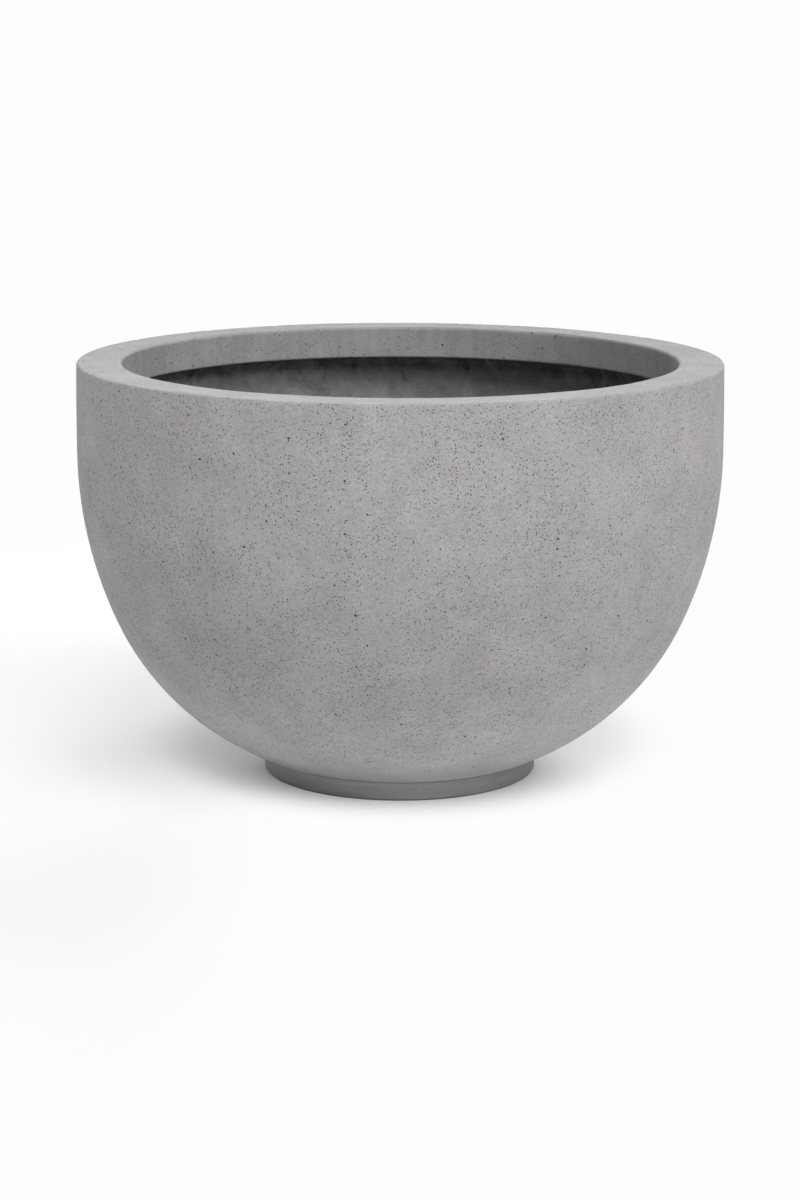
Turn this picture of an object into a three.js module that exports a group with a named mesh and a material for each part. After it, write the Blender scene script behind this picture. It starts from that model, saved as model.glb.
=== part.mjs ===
// A round bowl planter in glass-fibre concrete, 540 mm across and 350 mm high.
//
// The bowl is one thin casting: a round wall with a flat rim whose lip turns down inside the
// mouth. A core fills the channel behind the lip, and a fibre lining, laid by hand inside the
// casting, closes the channel from below. The bowl stands on a low round foot, bonded to its flat
// underside, and a rubber plug closes a drain hole in the middle of its floor. Millimetres, +Z up,
// with the origin on the floor at the middle.

import * as THREE from "three";

const degrees = THREE.MathUtils.degToRad;

// ---- Driving dimensions ----

// The outside of the bowl.
const overallHeight = 350;
const bowlRadius = 270; // at its widest
const widestHeight = 276; // the widest circle lies a little below the rim
const rimLean = 1; // how far the wall leans in from there to the rim
const blendAngle = degrees(24); // how far the side has turned in where its curve tightens
const footAngle = degrees(68.5); // and where it meets the foot

// The rim and its lip.
const rimWidth = 37.5; // the flat top, edge to edge
const rimDepth = 28; // top face to the lower edge of the lip
const rimOuterRound = 3.2;
const rimInnerRound = 5.5;
const lipLowerRound = 2.5;

// The walls.
const shellWall = 9;
const liningWall = 4;
const channelRound = 8; // inside the shell, where wall, rim and lip meet
const liningRound = 14; // where the lining turns in under the channel
const floorRound = 60; // where the lining's side runs into its floor

// The foot.
const footRadius = 115.5;
const footHeight = 15.5; // the face that shows under the bowl
const footWidth = 28; // of the ring that meets the floor
const footSeat = 12; // height of the shell's flat underside
const footRound = 1.6;
const seatLip = 7.5; // how far the curved seat reaches in from the foot's outer face
const mortarBed = 3; // between the foot and the shell
const bedMargin = 1; // how far the bed stops short of the ledge's edges

// The drain and its plug.
const drainRadius = 12;
const plugHeadRadius = 19;
const plugHead = 6; // its height above the floor
const plugTopRound = 3;
const plugEdgeRound = 1;
const plugTaper = 0.7; // how much slimmer the stem is at its lower end
const plugRibs = 3;
const ribStandOut = 0.7;
const ribRamp = 1.4; // length of a rib's sloped leading side
const plugReach = 3; // how far the stem shows below the shell

const seatGap = 0.3; // between pieces that touch
const turnSteps = 60; // facets round the planter
const plugSteps = 20;
const arcStep = degrees(6); // facets along a side curve
const roundStep = degrees(30); // facets along a rounded edge

// ---- The bowl's side curve ----

// Three arcs in the (radius, height) plane, each tangent to the next: the lean arc up to the rim
// from the widest circle, and below that the belly arc and the tighter base arc. The last two
// have the radii that carry the side from the widest circle to the foot's top corner: each arc's
// radius times its run, the in and down of an arc of radius one, adds up to the span.
const point = (r, z) => new THREE.Vector2(r, z);
const span = point(bowlRadius - footRadius, widestHeight - footHeight);
const bellyRun = arcRun(0, blendAngle);
const baseRun = arcRun(blendAngle, footAngle);
const bellyArc = span.cross(baseRun) / bellyRun.cross(baseRun);
const baseArc = bellyRun.cross(span) / bellyRun.cross(baseRun);
const leanArc = ((overallHeight - widestHeight) ** 2 + rimLean ** 2) / (2 * rimLean);
const leanCentre = point(bowlRadius - leanArc, widestHeight);
const bellyCentre = point(bowlRadius - bellyArc, widestHeight);
const baseCentre = onArc(bellyCentre, bellyArc - baseArc, blendAngle);

// How far in and down an arc of radius one goes as the side turns from one angle to another.
function arcRun(from, to) {
  return point(Math.cos(from) - Math.cos(to), Math.sin(to) - Math.sin(from));
}

// A point on an arc of the side. The angle is how far the side there has turned from upright.
function onArc(centre, radius, angle) {
  return point(centre.x + radius * Math.cos(angle), centre.y - radius * Math.sin(angle));
}

// The radius of the lean arc, moved in by inset, at a height above the widest circle.
function leanRadius(height, inset) {
  const rise = height - widestHeight;
  return leanCentre.x + Math.sqrt((leanArc - inset) ** 2 - rise ** 2);
}

// The side curve moved in by inset, from the height low up to the height high. Every inset is cut
// at the same angles, so the facets of two surfaces that face each other stay parallel.
function sideCurve(inset, low, high) {
  const lowest = Math.asin((baseCentre.y - low) / (baseArc - inset));
  const angles = [lowest];
  const baseSteps = Math.floor((lowest - blendAngle) / arcStep - 0.5);
  for (let k = baseSteps; k > 0; k--) angles.push(blendAngle + k * arcStep);
  const base = angles.map((angle) => onArc(baseCentre, baseArc - inset, angle));
  const bellySteps = Math.ceil(blendAngle / arcStep);
  const belly = [];
  for (let k = bellySteps; k >= 0; k--) {
    belly.push(onArc(bellyCentre, bellyArc - inset, (blendAngle * k) / bellySteps));
  }
  const top = point(leanRadius(high, inset), high);
  return [...base, ...belly, top];
}

// ---- Shared shape tools ----

// A corner of an outline that is to be rounded to the given radius.
const rounded = (r, z, radius) => Object.assign(point(r, z), { fillet: radius });

// An outline with each corner that has a fillet replaced by the points of its arc.
function withFillets(outline) {
  return outline.flatMap((corner, i) => {
    if (!corner.fillet) return [corner];
    const toLast = outline.at(i - 1).clone().sub(corner).normalize();
    const toNext = outline[(i + 1) % outline.length].clone().sub(corner).normalize();
    const turn = Math.PI - Math.acos(THREE.MathUtils.clamp(toLast.dot(toNext), -1, 1));
    const middle = toLast.clone().add(toNext).normalize();
    const centre = middle.multiplyScalar(corner.fillet / Math.cos(turn / 2)).add(corner);
    const start = toLast.multiplyScalar(corner.fillet * Math.tan(turn / 2)).add(corner);
    const side = Math.sign(start.clone().sub(centre).cross(corner.clone().sub(centre)));
    const steps = Math.max(2, Math.ceil(turn / roundStep));
    return Array.from({ length: steps + 1 }, (_, k) =>
      start.clone().rotateAround(centre, (side * turn * k) / steps),
    );
  });
}

// A solid of revolution about +Z. The outline runs anticlockwise, with radius to the right and
// height up, so its faces point out, and it closes on itself unless it ends on the axis.
function revolve(outline, steps) {
  const points = withFillets(outline);
  if (points[0].x > 0) points.push(points[0]);
  return new THREE.LatheGeometry(points, steps).rotateX(Math.PI / 2);
}

// ---- Materials ----

const concrete = new THREE.MeshStandardMaterial({ color: 0x9d9a9a, roughness: 0.88, metalness: 0 });
const fibreBacking = new THREE.MeshStandardMaterial({ color: 0x6d6a69, roughness: 0.95, metalness: 0 });
const footConcrete = new THREE.MeshStandardMaterial({ color: 0x7a7875, roughness: 0.8, metalness: 0 });
const mortar = new THREE.MeshStandardMaterial({ color: 0x8a8885, roughness: 0.95, metalness: 0 });
const rubber = new THREE.MeshStandardMaterial({ color: 0x232323, roughness: 0.7, metalness: 0 });

// ---- Levels that several pieces share ----

const rimRadius = bowlRadius - rimLean;
const mouthRadius = rimRadius - rimWidth;
const lipEdge = overallHeight - rimDepth;
const lipBack = mouthRadius + shellWall;
const channelTop = overallHeight - shellWall;
const liningTop = lipEdge + liningWall;
const liningInset = shellWall + seatGap;
const innerInset = liningInset + liningWall;
const shellFloor = footSeat + shellWall;
const liningUnderside = shellFloor + seatGap;
const floorTop = liningUnderside + liningWall;

// ---- The pieces ----

// The casting: an even wall from the flat underside to the rim, over it and down the lip.
function bowlShell() {
  const outside = sideCurve(0, footSeat, overallHeight);
  const inside = sideCurve(shellWall, shellFloor, channelTop);
  const outerEdge = outside.pop();
  const channelEdge = inside.pop();
  return revolve(
    [
      point(drainRadius, footSeat),
      ...outside,
      rounded(outerEdge.x, outerEdge.y, rimOuterRound),
      rounded(mouthRadius, overallHeight, rimInnerRound),
      rounded(mouthRadius, lipEdge, lipLowerRound),
      rounded(lipBack, lipEdge, lipLowerRound),
      rounded(lipBack, channelTop, channelRound),
      rounded(channelEdge.x, channelEdge.y, channelRound),
      ...inside.reverse(),
      point(drainRadius, shellFloor),
    ],
    turnSteps,
  );
}

// The core of the rim, which fills the channel behind the lip down to the lining.
function rimCore() {
  const foot = liningTop + seatGap;
  const inner = lipBack + seatGap;
  const top = channelTop - seatGap;
  return revolve(
    [
      point(inner, foot),
      point(leanRadius(foot, liningInset), foot),
      rounded(leanRadius(top, liningInset), top, channelRound),
      rounded(inner, top, channelRound),
    ],
    turnSteps,
  );
}

// The lining, laid against the shell's wall and turned in under the channel to the lip's back.
function fibreLining() {
  const outside = sideCurve(liningInset, liningUnderside, liningTop);
  const inside = sideCurve(innerInset, floorTop, lipEdge);
  const floorEdge = inside.shift();
  const turn = inside.pop();
  const lipSide = lipBack + seatGap;
  return revolve(
    [
      point(drainRadius, liningUnderside),
      ...outside,
      point(lipSide, liningTop),
      point(lipSide, lipEdge),
      rounded(turn.x, turn.y, liningRound),
      ...inside.reverse(),
      rounded(floorEdge.x, floorEdge.y, floorRound),
      point(drainRadius, floorTop),
    ],
    turnSteps,
  );
}

// The foot: a low ring whose outer edge rises to a curved seat that the bowl's side rests in, with
// a ledge behind it for the mortar bed.
const footInner = footRadius - footWidth;
const ledgeRadius = footRadius - seatLip;
const ledgeHeight = footSeat - mortarBed;

// The height of a seat that lies one gap below the bowl's side.
function seatHeight(radius) {
  return baseCentre.y - Math.sqrt((baseArc + seatGap) ** 2 - (radius - baseCentre.x) ** 2);
}

function footRing() {
  return revolve(
    [
      rounded(footInner, 0, footRound),
      rounded(footRadius, 0, footRound),
      point(footRadius, seatHeight(footRadius)),
      point(ledgeRadius, seatHeight(ledgeRadius)),
      point(ledgeRadius, ledgeHeight),
      rounded(footInner, ledgeHeight, footRound),
    ],
    turnSteps,
  );
}

// The mortar bed between the foot's ledge and the shell's underside.
function footMortar() {
  const inner = footInner + footRound + bedMargin;
  const outer = ledgeRadius - bedMargin;
  const low = ledgeHeight + seatGap;
  const high = footSeat - seatGap;
  return revolve(
    [point(inner, low), point(outer, low), point(outer, high), point(inner, high)],
    turnSteps,
  );
}

// The rubber plug: a tapered stem with sealing ribs, under a round head that rests on the floor
// and can be gripped by its edge.
function drainPlug() {
  const seat = floorTop + seatGap;
  const tip = footSeat - plugReach;
  const headTop = seat + plugHead;
  return revolve(
    [
      point(0, tip),
      ...plugStem(tip, seat),
      rounded(plugHeadRadius, seat, plugEdgeRound),
      rounded(plugHeadRadius, headTop, plugTopRound),
      point(0, headTop),
    ],
    plugSteps,
  );
}

// The stem's outline. The crests of its ribs lie on a cone that fits the hole at the top and
// tapers downwards, and each rib slopes on its lower side, so the plug pushes in easily.
function plugStem(tip, seat) {
  const coneRadius = (height) =>
    drainRadius - seatGap - (plugTaper * (seat - height)) / (seat - tip);
  const grooveRadius = (height) => coneRadius(height) - ribStandOut;
  const pitch = (seat - tip) / (plugRibs + 1);
  const outline = [point(grooveRadius(tip), tip)];
  for (let k = 1; k <= plugRibs; k++) {
    const crest = tip + k * pitch;
    const foot = crest - ribRamp;
    outline.push(
      point(grooveRadius(foot), foot),
      point(coneRadius(crest), crest),
      point(grooveRadius(crest), crest),
    );
  }
  outline.push(point(grooveRadius(seat), seat));
  return outline;
}

// ---- The assembly ----

const planter = new THREE.Group();

function place(name, geometry, material) {
  const mesh = new THREE.Mesh(geometry, material);
  mesh.name = name;
  planter.add(mesh);
}

place("bowl_shell", bowlShell(), concrete);
place("rim_core", rimCore(), mortar);
place("fibre_lining", fibreLining(), fibreBacking);
place("foot_ring", footRing(), footConcrete);
place("foot_mortar", footMortar(), mortar);
place("drain_plug", drainPlug(), rubber);

export default planter;
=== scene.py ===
"""Looks of a round concrete bowl planter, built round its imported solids.

The planter is a thin glass-fibre concrete casting with a flat rim and a turned-down lip. A wrinkled
fibre lining is laid inside it, a low foot is bonded under it, and a rubber plug closes its drain.
Each piece is a surface of revolution whose relief is worked out with numpy. Metres, +Z up, and the
front is at -Y.
"""

import math

import bpy
import numpy as np
from bpy.props import FloatProperty, FloatVectorProperty, PointerProperty
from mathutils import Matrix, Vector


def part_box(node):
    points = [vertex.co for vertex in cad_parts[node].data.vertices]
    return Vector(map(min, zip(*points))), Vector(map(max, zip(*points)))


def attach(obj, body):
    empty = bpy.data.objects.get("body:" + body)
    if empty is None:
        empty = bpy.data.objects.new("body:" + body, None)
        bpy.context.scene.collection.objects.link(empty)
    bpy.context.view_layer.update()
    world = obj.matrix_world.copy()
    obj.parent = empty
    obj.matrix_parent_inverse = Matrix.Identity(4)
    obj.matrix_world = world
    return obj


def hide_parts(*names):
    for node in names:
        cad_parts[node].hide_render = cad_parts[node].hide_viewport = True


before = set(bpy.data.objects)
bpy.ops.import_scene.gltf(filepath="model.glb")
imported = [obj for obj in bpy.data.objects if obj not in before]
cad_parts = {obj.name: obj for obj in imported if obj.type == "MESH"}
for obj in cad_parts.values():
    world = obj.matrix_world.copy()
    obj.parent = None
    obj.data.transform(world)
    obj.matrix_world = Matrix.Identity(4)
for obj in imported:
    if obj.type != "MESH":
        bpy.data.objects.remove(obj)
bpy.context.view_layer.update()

bl_info = {
    "name": "Concrete Bowl Planter",
    "version": (1, 0, 0),
    "blender": (4, 5, 0),
    "location": "View3D > Sidebar > Planter",
    "description": "Builds a cast concrete bowl planter with its lining, foot and drain plug",
    "category": "Add Mesh",
}

MM = 0.001
SEED = 71
CASTING_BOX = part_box("bowl_shell")
LINING_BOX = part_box("fibre_lining")
FOOT_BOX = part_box("foot_ring")
PLUG_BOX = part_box("drain_plug")


# ---- Sizes and colours ----


def from_hex(code):
    """The linear colour of an sRGB hex code: each channel's gamma curve is undone."""
    channels = [int(code[i : i + 2], 16) / 255 for i in (0, 2, 4)]
    return tuple(c / 12.92 if c <= 0.04045 else ((c + 0.055) / 1.055) ** 2.4 for c in channels)


def size(name, description, default):
    """A length property whose default is in metres."""
    return FloatProperty(
        name=name, description=description, default=default, min=0.0,
        subtype="DISTANCE", unit="LENGTH",
    )


def colour(name, description, code):
    """A colour property whose default is an sRGB hex code."""
    return FloatVectorProperty(
        name=name, description=description, default=from_hex(code), min=0.0, max=1.0,
        subtype="COLOR",
    )


class PlanterSizes(bpy.types.PropertyGroup):
    """Sizes of the pieces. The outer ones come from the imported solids."""

    bowl_radius: size("Bowl radius", "Outer radius at the widest circle", CASTING_BOX[1].x)
    height: size("Height", "Floor to the top of the rim", CASTING_BOX[1].z)
    seat_height: size("Seat height", "Floor to the casting's flat underside", CASTING_BOX[0].z)
    widest_height: size("Widest height", "Floor to the widest circle", 276 * MM)
    rim_lean: size("Rim lean", "How far the wall leans in above the widest circle", 1 * MM)
    rim_width: size("Rim width", "Width of the flat rim", 37.5 * MM)
    rim_depth: size("Rim depth", "Top of the rim to the lower edge of the lip", 28 * MM)
    outer_round: size("Outer rim round", "Radius of the rim's outer edge", 2.0 * MM)
    inner_round: size("Inner rim round", "Radius of the rim's inner edge", 2.2 * MM)
    lip_round: size("Lip round", "Radius of the lip's lower edge", 1.4 * MM)
    shell_wall: size("Casting wall", "Thickness of the casting", 9 * MM)
    lining_wall: size("Lining wall", "Thickness of the fibre lining", 4 * MM)
    channel_round: size("Channel round", "Radius inside the rim's channel", 8 * MM)
    lining_round: size("Lining round", "Radius where the lining turns in under the lip", 14 * MM)
    floor_round: size("Floor round", "Radius where the lining's side meets its floor", 60 * MM)
    drain_radius: size("Drain radius", "Radius of the drain hole", 12 * MM)
    foot_radius: size("Foot radius", "Outer radius of the foot", FOOT_BOX[1].x)
    foot_height: size("Foot height", "Height of the foot's face", 15.5 * MM)
    foot_width: size("Foot width", "Width of the ring that meets the floor", 28 * MM)
    foot_round: size("Foot round", "Radius of the foot's lower edges", 2.4 * MM)
    seat_lip: size("Seat lip", "How far the foot's curved seat reaches in", 7.5 * MM)
    mortar_bed: size("Mortar bed", "Height of the bed between foot and casting", 3 * MM)
    gap: size("Gap", "Clearance between pieces that touch", 0.3 * MM)
    joint: size("Joint", "Clearance in the closed joint between foot and casting", 0.03 * MM)
    plug_head: size("Plug head", "Height of the plug's head", 6 * MM)
    plug_radius: size("Plug radius", "Radius of the plug's head", PLUG_BOX[1].x)

    @property
    def mouth(self):
        """Radius of the mouth, inside the flat rim."""
        return self.bowl_radius - self.rim_lean - self.rim_width

    @property
    def lip_edge(self):
        """Height of the lip's lower edge."""
        return self.height - self.rim_depth


class PlanterColours(bpy.types.PropertyGroup):
    """Colours of the finishes."""

    concrete: colour("Concrete", "Cast face, between its patches", "a5a4a4")
    concrete_light: colour("Light patches", "Paler clouds in the cast face", "adabac")
    concrete_dark: colour("Dark patches", "Damper-looking clouds in the cast face", "9c9d9c")
    lining: colour("Lining", "Hand-laid fibre backing", "a8a6a5")
    # the darker colour of the backing's streaks, and of the painted shade in its creases and under
    # the lip
    lining_streaks_and_shade: colour("Lining creases", "Resin-rich creases of the backing", "5a5857")
    foot: colour("Foot", "Dense concrete of the foot", "a6a5a3")
    mortar: colour("Mortar", "Rim core and mortar bed", "8a8885")
    rubber: colour("Rubber", "Drain plug", "2a2a2b")
    floor: colour("Floor", "Studio floor", "f3f3f3")


# ---- Outlines in the (radius, height) plane ----

SIDE_STEPS = 160  # points along each of the side's three arcs
CORNER_STEP = math.radians(4)  # turn between two points of a rounded corner
FINE_STEPS = 20000  # places along an outline at which its density is summed


def run_of_arc(start, end):
    """How far in and down an arc of radius one goes as the side turns between two angles."""
    return np.array([math.cos(start) - math.cos(end), math.sin(end) - math.sin(start)])


def cross(a, b):
    """The signed area spanned by two plane vectors."""
    return a[0] * b[1] - a[1] * b[0]


class SideCurve:
    """The bowl's side: a lean arc up to the rim, and below the widest circle a slow belly arc that
    passes into a tighter base arc. All three are tangent, and the last two have the radii that
    carry the side from the widest circle to the top of the foot."""

    BLEND = math.radians(24)  # turn from upright where the belly arc ends
    END = math.radians(68.5)  # turn from upright at the top of the foot

    def __init__(self, s):
        span = np.array([s.bowl_radius - s.foot_radius, s.widest_height - s.foot_height])
        belly_run = run_of_arc(0, self.BLEND)
        base_run = run_of_arc(self.BLEND, self.END)
        self.belly = cross(span, base_run) / cross(belly_run, base_run)
        self.base = cross(belly_run, span) / cross(belly_run, base_run)
        rise = s.height - s.widest_height
        self.lean = (rise**2 + s.rim_lean**2) / (2 * s.rim_lean)
        self.low, self.high = s.foot_height, s.height
        self.widest = s.widest_height
        self.lean_centre = s.bowl_radius - self.lean
        self.belly_centre = (s.bowl_radius - self.belly, self.widest)
        step = self.belly - self.base
        self.base_centre = (
            self.belly_centre[0] + step * math.cos(self.BLEND),
            self.belly_centre[1] - step * math.sin(self.BLEND),
        )

    def radius_above(self, height, inset):
        """Radius of the lean arc, moved in by inset, at a height."""
        return self.lean_centre + np.sqrt((self.lean - inset) ** 2 - (height - self.widest) ** 2)

    def radius_at(self, height):
        """Radius of the side at heights anywhere between the foot's top and the rim's."""
        points = self.points(0, self.low, self.high)
        return np.interp(height, points[:, 1], points[:, 0])

    def height_below(self, radius, inset):
        """Height of the base arc, moved in by inset, at a radius."""
        across = np.asarray(radius) - self.base_centre[0]
        return self.base_centre[1] - np.sqrt((self.base - inset) ** 2 - across**2)

    def points(self, inset, low, high):
        """The curve moved in by inset, from the height low up to the height high."""
        lowest = math.asin((self.base_centre[1] - low) / (self.base - inset))
        base_turns = np.linspace(lowest, self.BLEND, SIDE_STEPS)
        belly_turns = np.linspace(self.BLEND, 0, SIDE_STEPS)
        base = self.on_arc(self.base_centre, self.base - inset, base_turns)
        belly = self.on_arc(self.belly_centre, self.belly - inset, belly_turns)
        heights = np.linspace(self.widest, high, SIDE_STEPS)
        lean = np.column_stack([self.radius_above(heights, inset), heights])
        return np.vstack([base, belly[1:], lean[1:]])

    @staticmethod
    def on_arc(centre, radius, angles):
        """Points of an arc. An angle is how far the side there has turned from upright."""
        return np.column_stack(
            [centre[0] + radius * np.cos(angles), centre[1] - radius * np.sin(angles)]
        )


def rounded(outline, radii):
    """The closed outline with the corners named in radii, a map of row to radius, turned to arcs.
    Each arc starts and ends at its radius times the tangent of half the turn from the corner, and
    the outline's own points between there and the corner are left out."""
    parts = {i: corner[None] for i, corner in enumerate(outline)}
    count = len(outline)
    for i, radius in radii.items():
        corner = outline[i]
        before, after = i - 1, i + 1
        while True:
            back = outline[before % count] - corner
            ahead = outline[after % count] - corner
            gone, left = np.hypot(*back), np.hypot(*ahead)
            back, ahead = back / gone, ahead / left
            turn = math.pi - math.acos(np.clip(back @ ahead, -1, 1))
            reach = radius * math.tan(turn / 2)
            if gone > reach and left > reach:
                break
            if gone <= reach:
                parts.pop(before % count, None)
                before -= 1
            if left <= reach:
                parts.pop(after % count, None)
                after += 1
        middle = (back + ahead) / np.hypot(*(back + ahead))
        centre = corner + middle * radius / math.cos(turn / 2)
        start = corner + back * reach - centre
        way = math.copysign(1, cross(start, corner - centre))
        angles = way * np.linspace(0, turn, max(3, math.ceil(turn / CORNER_STEP)))
        turned = np.column_stack(
            [
                start[0] * np.cos(angles) - start[1] * np.sin(angles),
                start[0] * np.sin(angles) + start[1] * np.cos(angles),
            ]
        )
        parts[i] = centre + turned
    return np.vstack([parts[i] for i in sorted(parts)])


def spread_rows(outline, rows, density_at):
    """The closed outline resampled to so many rows. Rows lie where equal steps of the summed
    density fall, and density_at(radius, height) gives the density, of which only the proportions
    count."""
    ring = np.vstack([outline, outline[:1]])
    lengths = np.hypot(*np.diff(ring, axis=0).T)
    fine = np.concatenate([[0], np.cumsum(lengths)])
    along = np.linspace(0, fine[-1], FINE_STEPS)
    radius, height = np.interp(along, fine, ring[:, 0]), np.interp(along, fine, ring[:, 1])
    density = density_at(radius, height)
    total = np.concatenate([[0], np.cumsum((density[1:] + density[:-1]) / 2 * np.diff(along))])
    marks = np.linspace(0, total[-1], rows + 1)[:-1]
    at = np.interp(marks, total, along)
    return np.column_stack([np.interp(at, along, radius), np.interp(at, along, height)])


def outward(profile):
    """Unit normals of a closed profile that runs anticlockwise: its tangent turned to the right."""
    tangent = np.roll(profile, -1, axis=0) - np.roll(profile, 1, axis=0)
    normal = np.column_stack([tangent[:, 1], -tangent[:, 0]])
    return normal / np.hypot(*normal.T)[:, None]


def near(radius, height, corner, reach):
    """A bell that is one at a corner and fades over reach metres."""
    distance = np.hypot(radius - corner[0], height - corner[1])
    return np.exp(-((distance / reach) ** 2))


def step_up(values, low, high):
    """A smooth step from nought at low to one at high."""
    t = np.clip((values - low) / (high - low), 0, 1)
    return t * t * (3 - 2 * t)


# ---- Relief ----


def waves(turn, along, count, around, up, seed):
    """A sum of seeded plane waves over the unrolled surface. Each has a whole number of waves round
    a turn, up to around, so that it closes on itself, and a wave number up to the given one along
    the profile. The result is near nought on average, with a spread of about one."""
    rng = np.random.default_rng(seed)
    total = np.zeros(np.broadcast(turn, along).shape)
    for _ in range(count):
        laps = rng.integers(-around, around + 1)
        climb = rng.uniform(-up, up)
        phase = rng.uniform(0, 2 * math.pi)
        total += np.cos(laps * turn + climb * along + phase)
    return total * math.sqrt(2 / count)


def ring_noise(turn, cycles, seed):
    """Seeded noise round a circle: random values, smoothed to so many cycles a turn, spread one."""
    rng = np.random.default_rng(seed)
    count = len(turn)
    spectrum = np.fft.rfft(rng.normal(size=count))
    wave = np.arange(len(spectrum))
    spectrum *= np.exp(-((wave / cycles) ** 2))
    spectrum[0] = 0
    noise = np.fft.irfft(spectrum, count)
    return noise / noise.std()


# ---- Meshes ----


def turns(count):
    """Angles round a full turn, without the last one, which is the first."""
    return np.linspace(0, 2 * math.pi, count, endpoint=False)


def revolve(profile, angles, relief=None):
    """Points of a profile carried round +Z: (radius cos, radius sin, height) at each angle, moved
    along the profile's normal by relief, a grid of angle by row."""
    radius, height = profile[None, :, 0], profile[None, :, 1]
    if relief is not None:
        normal = outward(profile)
        radius = radius + relief * normal[None, :, 0]
        height = height + relief * normal[None, :, 1]
    angle = angles[:, None]
    level = np.broadcast_to(height, (len(angles), profile.shape[0]))
    return np.stack([radius * np.cos(angle), radius * np.sin(angle), level], axis=-1)


def make_mesh(name, points, faces):
    """A smooth mesh object at the origin from an array of points and a list of faces."""
    mesh = bpy.data.meshes.new(name)
    mesh.from_pydata(points.reshape(-1, 3).tolist(), [], faces)
    mesh.polygons.foreach_set("use_smooth", np.ones(len(faces), bool))
    mesh.update()
    piece = bpy.data.objects.new(name, mesh)
    bpy.context.scene.collection.objects.link(piece)
    return piece


def grid_faces(columns, rows, steps):
    """Quads of a grid that closes round its columns. Each goes from one of the first so many rows
    to the next, where the row after the last is the first. Their corners run anticlockwise seen
    from outside where the profile runs anticlockwise."""
    i, j = np.meshgrid(np.arange(columns), np.arange(steps), indexing="ij")
    here, right = i * rows, ((i + 1) % columns) * rows
    above = (j + 1) % rows
    return np.stack([here + j, right + j, right + above, here + above], axis=-1).reshape(-1, 4)


def ring_piece(name, profile, columns, relief):
    """A closed ring: the profile carried round with its relief."""
    rows = len(profile)
    points = revolve(profile, turns(columns), relief)
    return make_mesh(name, points, grid_faces(columns, rows, rows).tolist())


def capped_piece(name, profile, columns):
    """A solid whose profile starts and ends on the axis, where its faces meet in one point."""
    inner = profile[1:-1]
    rows = len(inner)
    points = revolve(inner, turns(columns)).reshape(-1, 3)
    poles = np.array([[0, 0, profile[0, 1]], [0, 0, profile[-1, 1]]])
    column = np.arange(columns)
    here, right = column * rows, ((column + 1) % columns) * rows
    low = np.full(columns, columns * rows)
    bottom = np.stack([low, right, here], axis=-1)
    top = np.stack([low + 1, here + rows - 1, right + rows - 1], axis=-1)
    faces = grid_faces(columns, rows, rows - 1).tolist() + bottom.tolist() + top.tolist()
    return make_mesh(name, np.vstack([points, poles]), faces)


def set_attribute(piece, name, values):
    """A number on each point of a piece, which its material reads by name."""
    layer = piece.data.attributes.new(name, "FLOAT", "POINT")
    layer.data.foreach_set("value", np.ascontiguousarray(values, np.float32).ravel())


# ---- Material tools ----

MULTIPLY = {"operation": "MULTIPLY"}
MULTIPLY_ADD = {"operation": "MULTIPLY_ADD"}
SUBTRACT = {"operation": "SUBTRACT"}
MAXIMUM = {"operation": "MAXIMUM"}
DIVIDE = {"operation": "DIVIDE"}
LENGTH = {"operation": "LENGTH"}
SMOOTH = {"interpolation_type": "SMOOTHSTEP"}
# a mix has its factor at place 0, its two numbers at 2 and 3, and its two colours at 6 and 7
NUMBERS = {"data_type": "FLOAT"}
COLOURS = {"data_type": "RGBA"}
MULTIPLY_COLOURS = {"data_type": "RGBA", "blend_type": "MULTIPLY"}


def per_mm(length):
    """The texture scale at which one unit of a pattern is so many millimetres long."""
    return 1 / (length * MM)


def add(tree, kind, settings=None, **inputs):
    """A node with its settings, and its inputs set to values or linked from sockets. Spaces in an
    input's name are written as underscores. _6 means the input at place 6, because some kinds of
    node have several inputs of one name."""
    made = tree.nodes.new(kind)
    for key, value in (settings or {}).items():
        setattr(made, key, value)
    for key, value in inputs.items():
        place = int(key[1:]) if key[1:].isdigit() else key.replace("_", " ")
        if isinstance(value, bpy.types.NodeSocket):
            tree.links.new(value, made.inputs[place])
        else:
            made.inputs[place].default_value = value
    return made


def new_material(name):
    """An empty node material, its tree, and the place on the piece, which its patterns read."""
    material = bpy.data.materials.new(name)
    material.use_nodes = True
    tree = material.node_tree
    tree.nodes.clear()
    return material, tree, add(tree, "ShaderNodeTexCoord").outputs["Object"]


def shade(tree, base, roughness, normal, specular):
    """The surface shader of a mineral or rubber finish, linked to the output."""
    surface = add(
        tree, "ShaderNodeBsdfPrincipled", Base_Color=base, Roughness=roughness, Normal=normal,
        Specular_IOR_Level=specular,
    )
    add(tree, "ShaderNodeOutputMaterial", Surface=surface.outputs[0])


def rgba(values):
    """A colour with its alpha."""
    return (*values, 1.0)


def centred(tree, value, amount):
    """One plus the amount times how far a pattern is from a half: a gain that is one on average."""
    off = add(tree, "ShaderNodeMath", SUBTRACT, _0=value, _1=0.5).outputs[0]
    return add(tree, "ShaderNodeMath", MULTIPLY_ADD, _0=off, _1=amount, _2=1.0).outputs[0]


def gain_along(tree, place, axis, start, end, first, last):
    """A gain that goes smoothly from first to last between two places on an axis."""
    along = add(tree, "ShaderNodeSeparateXYZ", Vector=place).outputs[axis]
    return add(
        tree, "ShaderNodeMapRange", SMOOTH, Value=along,
        From_Min=start, From_Max=end, To_Min=first, To_Max=last,
    ).outputs["Result"]


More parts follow.
